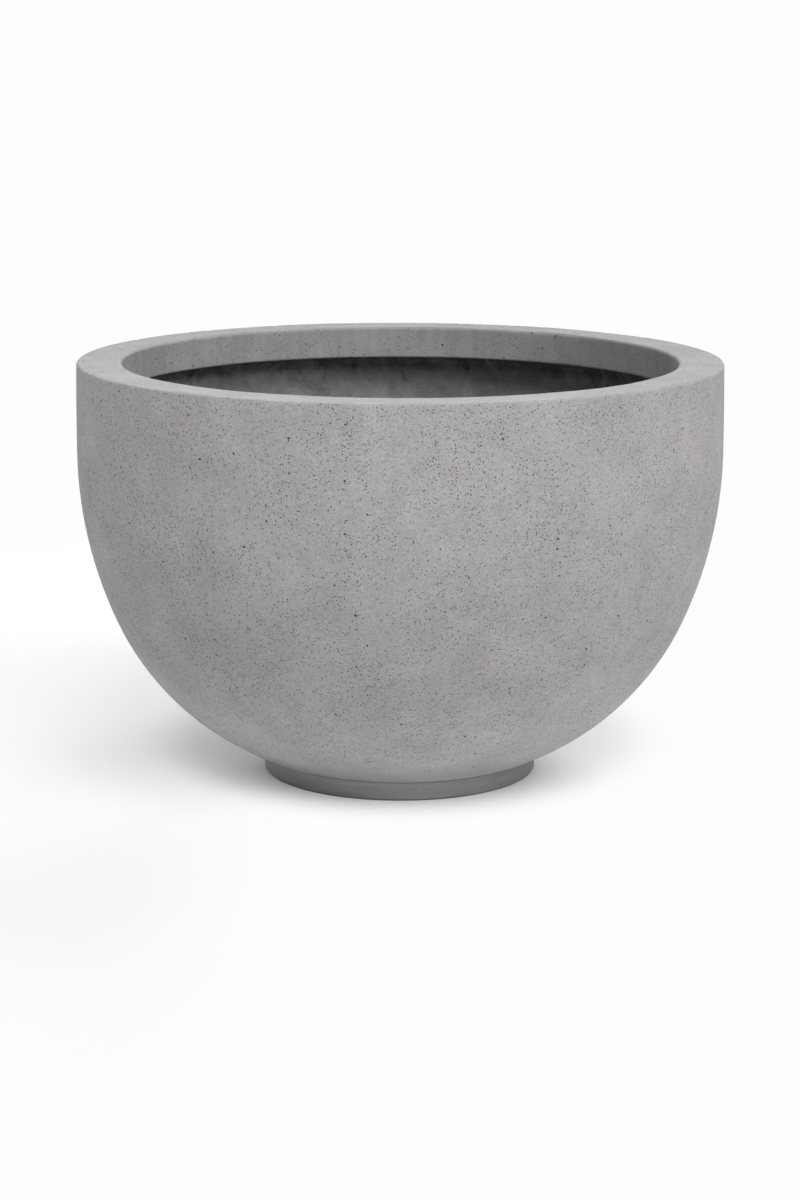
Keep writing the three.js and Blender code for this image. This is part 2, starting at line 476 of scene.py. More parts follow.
def ring_streaks(tree, place, width, length):
    """Noise drawn out round the axis: it varies fast with the distance from the axis and slowly
    with the place itself. The streaks' width and length are in millimetres."""
    parts = add(tree, "ShaderNodeSeparateXYZ", Vector=place).outputs
    flat = add(tree, "ShaderNodeCombineXYZ", X=parts["X"], Y=parts["Y"]).outputs[0]
    away = add(tree, "ShaderNodeVectorMath", LENGTH, _0=flat).outputs["Value"]
    across, back, fast = (
        add(tree, "ShaderNodeMath", MULTIPLY, _0=value, _1=per_mm(scale)).outputs[0]
        for value, scale in ((parts["X"], length), (parts["Y"], length), (away, width))
    )
    spun = add(tree, "ShaderNodeCombineXYZ", X=across, Y=back, Z=fast).outputs[0]
    return add(tree, "ShaderNodeTexNoise", Vector=spun, Scale=1.0, Detail=3.0).outputs["Fac"]


def looked_at(tree):
    """One where the camera, a gloss or a clear pane looks at the stage, nought where the stage only
    throws light on the planter."""
    path = add(tree, "ShaderNodeLightPath").outputs
    seen = path["Is Camera Ray"]
    for ray in ("Is Glossy Ray", "Is Transmission Ray"):
        seen = add(tree, "ShaderNodeMath", MAXIMUM, _0=seen, _1=path[ray]).outputs[0]
    return seen


# ---- Materials ----

COOL_TINT, WARM_TINT = "fafefc", "fffafb"  # of the cast face's patches
CEMENT_DUST = "6f6d6b"  # on the rubber

# pinholes, then blowholes: their spacing and largest radius in millimetres, and the share of
# places that have one where their density is one
HOLES = ((2.0, 0.64, 0.60), (8.5, 1.15, 0.22))
FOOT_HOLES = (0.06, 0.25)  # the densities of both in the foot
SMALLEST = 0.55  # the smallest hole's radius, of the largest one's
HOLE_EDGE = 0.7  # where a hole's darkness is full, of its radius
# painted shade: a hole's colour is darkened by these, standing in for the shade inside it
HOLE_SHADE, FOOT_HOLE_SHADE = 0.15, 0.4  # what a hole keeps of the light, in the casting and the foot

GRAIN = 1.0  # how much the sand's pattern changes the cast face's colour
CALM_GRAIN = 0.6  # how much of that is left where the face was wiped smooth
STREAKS = 0.30  # how much the trowel's streaks change the rim's top
RUNS = 0.34  # how much the slurry's runs change the lip's face

# axis, where the change starts and ends, and the gain before and after it
# painted light: the lower side made paler, standing in for light from the floor
PAINTED_FLOOR_LIGHT = ("Z", 14 * MM, 135 * MM, 1.28, 1.0)
# painted light: the side's last centimetre above the foot made palest, against the corner's shade
PAINTED_LIGHT_OVER_FOOT = ("Z", 15 * MM, 28 * MM, 1.36, 1.0)
# painted shade: the rim's top made darker toward the back, where the light falls off
SHADE_TO_BACK = ("Y", -250 * MM, 250 * MM, 1.03, 0.87)
# painted shade: a dark line along the foot's lower edge, standing in for the contact shadow
CONTACT_SHADE = ("Z", 0.5 * MM, 1.8 * MM, 0.3, 1.0)


def pinholes(tree, place, densities):
    """Two sizes of round hole, as spheres scattered through the concrete that its face cuts open,
    each with its own density. Gives how much of a hole shows, and a height that is one on the face
    and sinks in a hole."""
    shown = 0.0
    for (spacing, radius, share), density in zip(HOLES, densities):
        cells = add(
            tree, "ShaderNodeTexVoronoi", Vector=place, Scale=per_mm(spacing), Randomness=1.0
        ).outputs
        pick = add(tree, "ShaderNodeSeparateColor", Color=cells["Color"]).outputs
        wanted = add(tree, "ShaderNodeMath", MULTIPLY, _0=density, _1=share).outputs[0]
        kept = add(
            tree, "ShaderNodeMath", {"operation": "LESS_THAN"}, _0=pick["Red"], _1=wanted
        ).outputs[0]
        reach = add(
            tree, "ShaderNodeMapRange", Value=pick["Green"],
            To_Min=SMALLEST * radius / spacing, To_Max=radius / spacing,
        ).outputs["Result"]
        ratio = add(tree, "ShaderNodeMath", DIVIDE, _0=cells["Distance"], _1=reach).outputs[0]
        inside = add(
            tree, "ShaderNodeMapRange", SMOOTH, Value=ratio, From_Min=1.0, From_Max=HOLE_EDGE
        ).outputs["Result"]
        hole = add(tree, "ShaderNodeMath", MULTIPLY, _0=inside, _1=kept).outputs[0]
        shown = add(tree, "ShaderNodeMath", MAXIMUM, _0=shown, _1=hole).outputs[0]
    return shown, add(tree, "ShaderNodeMath", SUBTRACT, _0=1.0, _1=shown).outputs[0]


def cast_concrete(colours):
    """Glass-fibre concrete cast against a mould and left bare. The fine cement face takes soft pale
    and dark clouds as it dries, sand shows as a faint grain, and the air trapped against the mould
    leaves many pinholes 0.7 to 1.3 mm wide and a few blowholes up to 2.3 mm wide."""
    material, tree, place = new_material("cast_fibre_concrete")
    small, large, top, lip = (
        add(tree, "ShaderNodeAttribute", {"attribute_name": name}).outputs["Fac"]
        for name in ("pinholes", "blowholes", "rim_top", "lip_face")
    )

    # clouds 45 mm wide with smaller ones in them
    clouds = add(
        tree, "ShaderNodeTexNoise", Vector=place, Scale=per_mm(45),
        Detail=5.0, Roughness=0.68, Distortion=0.4,
    ).outputs["Fac"]
    patches = add(tree, "ShaderNodeMapRange", Value=clouds, From_Min=0.3, From_Max=0.7)
    ramp = add(tree, "ShaderNodeValToRGB", Fac=patches.outputs["Result"])
    ramp.color_ramp.elements[0].color = rgba(colours.concrete_dark)
    ramp.color_ramp.elements[1].color = rgba(colours.concrete_light)
    ramp.color_ramp.elements.new(0.5).color = rgba(colours.concrete)
    # a faint cool and warm tint in patches 26 mm wide
    tint = add(
        tree, "ShaderNodeTexNoise", Vector=place, Scale=per_mm(26), Detail=4.0, Roughness=0.65
    ).outputs["Fac"]
    warm = add(tree, "ShaderNodeMapRange", Value=tint, From_Min=0.32, From_Max=0.68)
    tinted = add(
        tree, "ShaderNodeMix", COLOURS, _0=warm.outputs["Result"],
        _6=rgba(from_hex(COOL_TINT)), _7=rgba(from_hex(WARM_TINT)),
    ).outputs[2]
    body = add(
        tree, "ShaderNodeMix", MULTIPLY_COLOURS, _0=1.0, _6=ramp.outputs["Color"], _7=tinted
    ).outputs[2]

    # sand grains 1.6 mm wide and finer, coarser than the real ones so that they still show
    sand = add(
        tree, "ShaderNodeTexNoise", Vector=place, Scale=per_mm(1.6), Detail=2.0, Roughness=0.8
    ).outputs["Fac"]
    # the rim's top was wiped smooth, and the lip's face less so
    wiped = add(tree, "ShaderNodeMath", MULTIPLY_ADD, _0=lip, _1=0.6, _2=top).outputs[0]
    calm = add(
        tree, "ShaderNodeMapRange", Value=wiped, To_Min=GRAIN, To_Max=CALM_GRAIN * GRAIN
    ).outputs["Result"]
    # trowel streaks round the rim's top, 1.3 mm wide and 60 mm long
    streaks = ring_streaks(tree, place, 1.3, 60)
    streaked = add(tree, "ShaderNodeMath", MULTIPLY, _0=top, _1=STREAKS).outputs[0]
    # runs of slurry down the lip, 6 mm wide and 60 mm long
    drawn = add(tree, "ShaderNodeMapping", Vector=place, Scale=(1.0, 1.0, 0.1)).outputs[0]
    runs = add(tree, "ShaderNodeTexNoise", Vector=drawn, Scale=per_mm(6), Detail=4.0).outputs["Fac"]
    run_down = add(tree, "ShaderNodeMath", MULTIPLY, _0=lip, _1=RUNS).outputs[0]

    holes, depth = pinholes(tree, place, (small, large))
    # painted shade in the holes
    light = add(
        tree, "ShaderNodeMapRange", Value=holes, To_Min=1.0, To_Max=HOLE_SHADE
    ).outputs["Result"]
    # painted shade toward the rim's back
    darker_to_back = gain_along(tree, place, *SHADE_TO_BACK)
    gains = (
        centred(tree, sand, calm),
        centred(tree, streaks, streaked),
        centred(tree, runs, run_down),
        # painted light: the side is paler low down above the foot, standing in for light thrown up
        # from the floor
        gain_along(tree, place, *PAINTED_FLOOR_LIGHT),
        # painted light: the side's last centimetre above the foot is palest, standing in for light
        # in that corner
        gain_along(tree, place, *PAINTED_LIGHT_OVER_FOOT),
        # painted shade: the rim's top is darker toward the back, where less of the lamps' light
        # falls
        add(tree, "ShaderNodeMix", NUMBERS, _0=top, _2=1.0, _3=darker_to_back).outputs[0],
    )
    for gain in gains:
        light = add(tree, "ShaderNodeMath", MULTIPLY, _0=light, _1=gain).outputs[0]
    face = add(tree, "ShaderNodeMix", MULTIPLY_COLOURS, _0=1.0, _6=body, _7=light).outputs[2]

    height = add(tree, "ShaderNodeMath", MULTIPLY_ADD, _0=sand, _1=0.25, _2=depth).outputs[0]
    bump = add(tree, "ShaderNodeBump", Strength=0.7, Distance=0.6 * MM, Height=height)
    shade(tree, face, 0.95, bump.outputs["Normal"], 0.06)
    return material


def laid_fibre(colours):
    """Glass-fibre mat wetted with cement slurry and rolled down by hand. It dries matt and streaky,
    with the criss-cross of the strands as a faint relief. Shade is painted darker in its creases
    and in the strip right under the lip."""
    material, tree, place = new_material("hand_laid_fibre_backing")
    crease = add(tree, "ShaderNodeAttribute", {"attribute_name": "crease"}).outputs["Fac"]
    # streaks 22 mm wide, pulled about
    streaks = add(
        tree, "ShaderNodeTexNoise", Vector=place, Scale=per_mm(22),
        Detail=6.0, Roughness=0.65, Distortion=1.2,
    ).outputs["Fac"]
    # the crease attribute is painted shade, in the folds' creases and in the strip under the lip
    mixed = add(tree, "ShaderNodeMath", MULTIPLY_ADD, _0=crease, _1=0.9, _2=streaks).outputs[0]
    dark = add(tree, "ShaderNodeMapRange", Value=mixed, From_Min=0.35, From_Max=1.0)
    base = add(
        tree, "ShaderNodeMix", COLOURS, _0=dark.outputs["Result"],
        _6=rgba(colours.lining), _7=rgba(colours.lining_streaks_and_shade),
    ).outputs[2]
    # strands 9 mm long and a sixth as wide, lying aslant, and the slurry's fuzz 2.5 mm wide
    turned = add(tree, "ShaderNodeMapping", Vector=place, Rotation=(0.5, 0.4, 0.6), Scale=(1, 1, 6))
    strands = add(
        tree, "ShaderNodeTexNoise", Vector=turned.outputs[0], Scale=per_mm(9), Detail=4.0
    ).outputs["Fac"]
    fuzz = add(tree, "ShaderNodeTexNoise", Vector=place, Scale=per_mm(2.5), Detail=3.0)
    height = add(
        tree, "ShaderNodeMath", MULTIPLY_ADD, _0=fuzz.outputs["Fac"], _1=0.4, _2=strands
    ).outputs[0]
    bump = add(tree, "ShaderNodeBump", Strength=0.7, Distance=1.2 * MM, Height=height)
    shade(tree, base, 0.95, bump.outputs["Normal"], 0.06)
    return material


def dense_concrete(colours):
    """Concrete pressed in a steel mould, denser and smoother than the bowl. It is nearly even in
    colour, with a slight greenish warmth, faint wipe marks round the ring and very few holes.
    Light and shade are painted on it: paler over the front and darker to the right, as the light
    falls on it, a painted contact shadow along its lower edge, and painted shade in its holes."""
    material, tree, place = new_material("pressed_concrete")
    # wipe marks 30 mm long and an eighth as high, and a fine grain 1.4 mm wide
    flat = add(tree, "ShaderNodeMapping", Vector=place, Scale=(1, 1, 8)).outputs[0]
    wipes, fine = (
        add(
            tree, "ShaderNodeTexNoise", Vector=on, Scale=per_mm(width), Detail=detail
        ).outputs["Fac"]
        for on, width, detail in ((flat, 30, 4.0), (place, 1.4, 2.0))
    )
    both = add(tree, "ShaderNodeMath", MULTIPLY_ADD, _0=fine, _1=0.5, _2=wipes).outputs[0]
    light = add(
        tree, "ShaderNodeMapRange", Value=both,
        From_Min=0.5, From_Max=1.0, To_Min=0.9, To_Max=1.08,
    ).outputs["Result"]
    holes, depth = pinholes(tree, place, FOOT_HOLES)
    # painted shade in the holes
    dark = add(tree, "ShaderNodeMapRange", Value=holes, To_Min=1.0, To_Max=FOOT_HOLE_SHADE)
    gains = (
        dark.outputs["Result"],
        # painted light and shade round the ring, paler at the front and darker to the right
        add(tree, "ShaderNodeAttribute", {"attribute_name": "tone"}).outputs["Fac"],
        # painted contact shadow along the foot's lower edge
        gain_along(tree, place, *CONTACT_SHADE),
    )
    for gain in gains:
        light = add(tree, "ShaderNodeMath", MULTIPLY, _0=light, _1=gain).outputs[0]
    base = add(
        tree, "ShaderNodeMix", MULTIPLY_COLOURS, _0=1.0, _6=rgba(colours.foot), _7=light
    ).outputs[2]
    height = add(tree, "ShaderNodeMath", MULTIPLY_ADD, _0=fine, _1=0.1, _2=depth).outputs[0]
    bump = add(tree, "ShaderNodeBump", Strength=0.4, Distance=0.4 * MM, Height=height)
    shade(tree, base, 0.85, bump.outputs["Normal"], 0.1)
    return material


def packed_mortar(colours):
    """Sand and cement mortar, packed by hand: an open, sandy surface with lumps 4 mm wide."""
    material, tree, place = new_material("sand_cement_mortar")
    lumps = add(
        tree, "ShaderNodeTexNoise", Vector=place, Scale=per_mm(4), Detail=5.0, Roughness=0.7
    ).outputs["Fac"]
    light = add(
        tree, "ShaderNodeMapRange", Value=lumps,
        From_Min=0.3, From_Max=0.7, To_Min=0.75, To_Max=1.1,
    ).outputs["Result"]
    base = add(
        tree, "ShaderNodeMix", MULTIPLY_COLOURS, _0=1.0, _6=rgba(colours.mortar), _7=light
    ).outputs[2]
    bump = add(tree, "ShaderNodeBump", Strength=0.8, Distance=1 * MM, Height=lumps)
    shade(tree, base, 0.95, bump.outputs["Normal"], 0.2)
    return material


def moulded_rubber(colours):
    """Black rubber moulded in a blasted tool: a dull, slightly grey skin 0.6 mm in grain, with a
    dusting of cement in patches 7 mm wide."""
    material, tree, place = new_material("moulded_rubber")
    dust = add(
        tree, "ShaderNodeTexNoise", Vector=place, Scale=per_mm(7), Detail=6.0, Roughness=0.7
    ).outputs["Fac"]
    amount = add(
        tree, "ShaderNodeMapRange", Value=dust,
        From_Min=0.45, From_Max=0.75, To_Min=0.0, To_Max=0.35,
    ).outputs["Result"]
    base = add(
        tree, "ShaderNodeMix", COLOURS, _0=amount,
        _6=rgba(colours.rubber), _7=rgba(from_hex(CEMENT_DUST)),
    ).outputs[2]
    skin = add(tree, "ShaderNodeTexNoise", Vector=place, Scale=per_mm(0.6), Detail=1.0)
    bump = add(
        tree, "ShaderNodeBump", Strength=0.3, Distance=0.1 * MM, Height=skin.outputs["Fac"]
    )
    shade(tree, base, 0.62, bump.outputs["Normal"], 0.5)
    return material


# ---- Pieces ----


def dress(piece, material, body, node):
    """Gives a piece its material and body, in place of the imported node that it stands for."""
    piece.data.materials.append(material)
    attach(piece, body)
    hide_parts(node)


class PLANTER_OT_casting(bpy.types.Operator):
    """Makes the casting: the bowl's wall, flat rim and turned-down lip in one piece"""

    bl_idname = "planter.casting"
    bl_label = "Casting"

    COLUMNS = 840
    ROWS = 118
    UNEVEN = 0.07  # millimetres, the spread of the face's unevenness
    SUNK = 0.2 * MM  # how far the face lies back on average, so that its relief only sinks it
    NICKS = 260  # cycles of noise round the outer edge, which make nicks 2 to 3 mm wide
    NICKED = 1.1  # the noise above which there is a nick
    NICK_DEPTH = 0.45  # millimetres, for each unit of noise above that
    WEAR = 70  # cycles of noise round the inner edge
    WEAR_DEPTH = 0.10  # millimetres
    EDGE_REACH = 2.0 * MM  # how far nicks and wear fade out from their edge
    FEW_HOLES = 0.08  # density of the pinholes in the band above the foot
    FEW_BLOWHOLES = 0.3  # density of the blowholes there
    CLUSTERS = 0.25  # how much the pinholes' density varies from place to place
    MOST_HOLES = 1.6  # the density is capped here

    def execute(self, context):
        s = context.scene.planter_sizes
        side = SideCurve(s)
        outer_edge = (s.bowl_radius - s.rim_lean, s.height)
        inner_edge = (s.mouth, s.height)

        def density_at(radius, height):
            """Dense at the edges of rim and lip, and sparse where nothing shows."""
            rim = near(radius, height, outer_edge, 4.5 * MM)
            rim = rim + near(radius, height, inner_edge, 5.5 * MM)
            lip = near(radius, height, (s.mouth, s.lip_edge), 4 * MM)
            behind_face = (radius < side.radius_at(height) - 3 * MM) & (radius > s.mouth + 1 * MM)
            hidden = behind_face & (height < s.height - 2 * MM) | (radius < s.foot_radius)
            return 100 + 1600 * rim + 1100 * lip - 45 * hidden

        profile = spread_rows(self.outline(s, side), self.ROWS, density_at)
        angles = turns(self.COLUMNS)
        relief = self.relief(profile, angles, s, outer_edge, inner_edge)
        piece = ring_piece("casting", profile, self.COLUMNS, relief)
        self.mark(piece, profile, angles, s)
        material = cast_concrete(context.scene.planter_colours)
        dress(piece, material, "planter", "bowl_shell")
        return {"FINISHED"}

    @staticmethod
    def outline(s, side):
        """The casting's closed outline, anticlockwise: underside, side, rim, lip and inside."""
        outside = side.points(0, s.seat_height, s.height)
        inside = side.points(s.shell_wall, s.seat_height + s.shell_wall, s.height - s.shell_wall)
        lip_back = s.mouth + s.shell_wall - s.gap
        corners = [
            [s.mouth, s.height],
            [s.mouth, s.lip_edge],
            [lip_back, s.lip_edge],
            [lip_back, s.height - s.shell_wall],
        ]
        low = [[s.drain_radius, s.seat_height]]
        end = [[s.drain_radius, s.seat_height + s.shell_wall]]
        rounds = (
            s.outer_round, s.inner_round, s.lip_round, s.lip_round, s.channel_round, s.channel_round
        )
        rim = len(outside)
        outline = np.vstack([low, outside, corners, inside[::-1], end])
        return rounded(outline, {rim + i: radius for i, radius in enumerate(rounds)})

    def relief(self, profile, angles, s, outer_edge, inner_edge):
        """Sinks the face by a soft unevenness of up to 0.4 mm that fades out at the foot, and wears
        both rim edges: the outer one has nicks where noise round it passes a threshold, and the
        inner one is worn softly. Both fade with distance from their edge."""
        radius, height = profile.T
        along = np.linspace(0, 1, len(profile))[None, :]
        soft = self.UNEVEN * waves(angles[:, None], along, 24, 14, 60, SEED) * MM
        soft = np.minimum(soft - self.SUNK, 0)
        soft = soft * step_up(height, s.foot_height, s.foot_height + 20 * MM)
        nicked = np.clip(ring_noise(angles, self.NICKS, SEED + 1) - self.NICKED, 0, None)
        nicks = nicked * self.NICK_DEPTH * MM
        worn = self.WEAR_DEPTH * MM * (1 + ring_noise(angles, self.WEAR, SEED + 3).clip(-1, 2))
        at_outer = near(radius, height, outer_edge, self.EDGE_REACH)
        at_inner = near(radius, height, inner_edge, self.EDGE_REACH)
        return soft - nicks[:, None] * at_outer[None, :] - worn[:, None] * at_inner[None, :]

    def mark(self, piece, profile, angles, s):
        """Numbers for the material: how many holes of each size a place has, and where the rim's
        top and the lip's face are. Pinholes are few in the band above the foot, on the rim's top
        inside its outer edge, and on the upper part of the lip. Blowholes are most on the lip."""
        radius, height = profile.T
        top = step_up(height, s.height - 1.2 * MM, s.height - 0.5 * MM)
        lip = step_up(height, s.lip_edge - 4 * MM, s.lip_edge) * (1 - top)
        lip = (radius < s.mouth + 3 * MM) * lip
        above_band = step_up(height, 32 * MM, 56 * MM)
        lower_lip = 1 - step_up(height, s.lip_edge + 6 * MM, s.lip_edge + 20 * MM)
        inward = step_up(s.mouth + s.rim_width - radius, 2 * MM, 8 * MM)
        holes = self.FEW_HOLES + (1 - self.FEW_HOLES) * above_band
        holes = holes * (1 - top * (0.1 + 0.7 * inward)) * (1 - lip * (0.82 - 0.4 * lower_lip))
        blowholes = self.FEW_BLOWHOLES + (1 - self.FEW_BLOWHOLES) * above_band
        blowholes = blowholes * (1 - 0.5 * top) * (1 + 1.6 * lip)
        along = np.linspace(0, 1, len(profile))[None, :]
        cluster = 1 + self.CLUSTERS * waves(angles[:, None], along, 30, 24, 80, SEED + 5)
        set_attribute(piece, "pinholes", np.clip(holes[None, :] * cluster, 0, self.MOST_HOLES))
        for name, values in {"blowholes": blowholes, "rim_top": top, "lip_face": lip}.items():
            set_attribute(piece, name, np.broadcast_to(values[None, :], cluster.shape))


class PLANTER_OT_lining(bpy.types.Operator):
    """Makes the wrinkled fibre lining inside the casting"""

    bl_idname = "planter.lining"
    bl_label = "Lining"

    COLUMNS = 960
    ROWS = 104
    FOLD_DEPTH = 1.7  # millimetres, from a crease to the highest ridge
    PLAIN = 0.5  # the folds' level on a plain place
    # painted shade: below the level CREASED a fold is darkened as shade falls in it, and the next
    # two numbers set how dark the painted shade is in a crease and in the strip right under the lip
    CREASED = 0.4  # the level below which a fold is dark
    CREASE_SHADE = 0.7  # how dark a crease is
    UNDER_LIP_SHADE = 0.9  # how dark the strip right under the lip is

    def execute(self, context):
        s = context.scene.planter_sizes

        def density_at(radius, height):
            """Dense in the strip under the lip, which can be seen from the side."""
            return 110 + 420 * step_up(height, s.lip_edge - 70 * MM, s.lip_edge - 50 * MM)

        profile = spread_rows(self.outline(s), self.ROWS, density_at)
        folds = self.folds(profile, turns(self.COLUMNS))
        inner = self.facing_in(profile, s)[None, :]
        relief = (inner * folds - self.PLAIN * inner) * self.FOLD_DEPTH * MM
        piece = ring_piece("lining", profile, self.COLUMNS, relief)
        # painted shade in the strip right under the lip, and in the creases
        strip = step_up(profile[:, 1], s.lip_edge - 19 * MM, s.lip_edge - 1 * MM)[None, :]
        creases = self.CREASE_SHADE * np.clip(self.CREASED - folds, 0, 1)
        set_attribute(piece, "crease", inner * (creases + self.UNDER_LIP_SHADE * strip))
        material = laid_fibre(context.scene.planter_colours)
        dress(piece, material, "planter", "fibre_lining")
        return {"FINISHED"}

    @staticmethod
    def outline(s):
        """The lining's closed outline: against the casting outside, and turned in to the lip."""
        side = SideCurve(s)
        inset = s.shell_wall + s.gap
        low = s.seat_height + s.shell_wall + s.gap
        lip_side = s.mouth + s.shell_wall + s.gap
        outside = side.points(inset, low, s.lip_edge + s.lining_wall)
        inside = side.points(inset + s.lining_wall, low + s.lining_wall, s.lip_edge)
        turn_in = [[lip_side, s.lip_edge + s.lining_wall], [lip_side, s.lip_edge]]
        start = [[s.drain_radius, low]]
        end = [[s.drain_radius, low + s.lining_wall]]
        outline = np.vstack([start, outside, turn_in, inside[::-1], end])
        under_lip, at_floor = len(outside) + 3, len(outline) - 2
        return rounded(outline, {under_lip: s.lining_round, at_floor: s.floor_round})

    @staticmethod
    def facing_in(profile, s):
        """One on the rows whose face looks into the bowl, 0.6 on those that look down under the
        lip, and nought against the casting and round the drain."""
        radius, height = profile.T
        normal = outward(profile)
        looks_in = normal[:, 1] - normal[:, 0] * 0.9
        looks_down = (normal[:, 1] < -0.5) & (height > LINING_BOX[1].z - 26 * MM)
        off_drain = step_up(radius, s.drain_radius + 8 * MM, s.drain_radius + 24 * MM)
        return np.maximum(step_up(looks_in, 0.2, 0.6), looks_down * 0.6) * off_drain

    def folds(self, profile, angles):
        """Folds of the mat. Soft lumps 20 to 40 mm wide carry ridges and creases: lines where
        slanting waves cross nought, each kept only where a slower wave is high. About one on the
        highest ridge, a half on a plain place and nought in a crease. They flatten toward the
        floor, where the mat is rolled down hardest."""
        radius, height = profile.T
        lengths = np.hypot(*np.diff(profile, axis=0, prepend=profile[:1]).T)
        along = np.cumsum(lengths)[None, :]
        turn = angles[:, None]
        bend = 0.02 * waves(turn, along, 16, 12, 40, SEED + 11)
        lumps = waves(turn, along, 48, 80, 170, SEED + 12).clip(-2, 2)
        rising = waves(turn - 1.6 * along + bend, along, 30, 60, 60, SEED + 13)
        falling = waves(turn + 2.2 * along - bend, along, 30, 60, 60, SEED + 14)
        raised = step_up(waves(turn, along, 24, 40, 90, SEED + 15), 0.0, 1.0)
        sunk = step_up(waves(turn, along, 24, 40, 90, SEED + 16), 0.1, 1.1)
        ridge = np.exp(-((rising / 0.35) ** 2)) * raised
        crease = np.exp(-((falling / 0.22) ** 2)) * sunk
        laid = 0.4 + 0.6 * step_up(height, 110 * MM, 250 * MM)
        off_floor = step_up(radius, 50 * MM, 170 * MM)
        folded = 0.16 * lumps + 0.35 * ridge - 0.55 * crease
        return self.PLAIN + folded * (laid * off_floor)[None, :]


class PLANTER_OT_foot(bpy.types.Operator):
    """Makes the low round foot that the casting is bonded to"""

    bl_idname = "planter.foot"
    bl_label = "Foot"

    COLUMNS = 720
    ROWS = 72
    SEAT_STEPS = 30  # points along the curved seat
    SHARP = 0.05 * MM  # radius of the upper edge, which closes the joint with the casting
    UNEVEN = 0.04  # millimetres, the spread of the face's unevenness
    SUNK = 0.1 * MM  # how far the face lies back on average, so that its relief only sinks it
    # painted light and shade: paler over the front and darker to the right of it, as the light
    # falls on the foot. The middle and width of each in degrees from the front to the right, and
    # what it adds
    LIT_PATCHES = ((-22, 56, 0.56), (62, 36, -0.16))

    def execute(self, context):
        s = context.scene.planter_sizes

        def density_at(radius, height):
            """Dense at the lower edge and denser at the upper one."""
            low = near(radius, height, (s.foot_radius, 0), 2 * MM)
            high = near(radius, height, (s.foot_radius, s.foot_height), 1 * MM)
            return 450 + 2500 * low + 4000 * high

        profile = spread_rows(self.outline(s), self.ROWS, density_at)
        angles = turns(self.COLUMNS)
        relief = self.relief(profile, angles, s)
        piece = ring_piece("foot", profile, self.COLUMNS, relief)
        # painted light and shade round the ring, paler at the front and darker to the right
        tone = self.tone(angles)[:, None]
        set_attribute(piece, "tone", np.broadcast_to(tone, relief.shape))
        material = dense_concrete(context.scene.planter_colours)
        dress(piece, material, "planter", "foot_ring")
        return {"FINISHED"}

    def outline(self, s):
        """The foot's closed outline: its underside, its face, the curved seat that follows the
        casting, and the ledge under the mortar bed."""
        inner = s.foot_radius - s.foot_width
        ledge = s.foot_radius - s.seat_lip
        ledge_height = s.seat_height - s.mortar_bed
        across = np.linspace(s.foot_radius, ledge, self.SEAT_STEPS)
        seat = np.column_stack([across, SideCurve(s).height_below(across, -s.joint)])
        underside = [[inner, 0], [s.foot_radius, 0]]
        outline = np.vstack([underside, seat, [[ledge, ledge_height], [inner, ledge_height]]])
        last = len(outline) - 1
        rounds = {0: s.foot_round, 1: s.foot_round, 2: self.SHARP, last: s.foot_round}
        return rounded(outline, rounds)

    def relief(self, profile, angles, s):
        """Sinks the face alone by a soft unevenness of up to 0.2 mm that fades before its edges."""
        radius, height = profile.T
        along = np.linspace(0, 1, len(profile))[None, :]
        soft = self.UNEVEN * waves(angles[:, None], along, 16, 9, 30, SEED + 21) * MM
        face = step_up(height, 1 * MM, 3 * MM)
        face = face - step_up(height, s.foot_height - 5 * MM, s.foot_height - 1 * MM)
        face = face * (radius > s.foot_radius - 1 * MM)
        return np.minimum(soft - self.SUNK, 0) * face[None, :]

    def tone(self, angles):
        """Painted light and shade round the foot's ring: one, plus a bell for each patch."""
        from_front = np.degrees(np.angle(np.exp(1j * (angles + math.pi / 2))))
        return 1 + sum(
            amount * np.exp(-(((from_front - middle) / width) ** 2))
            for middle, width, amount in self.LIT_PATCHES
        )


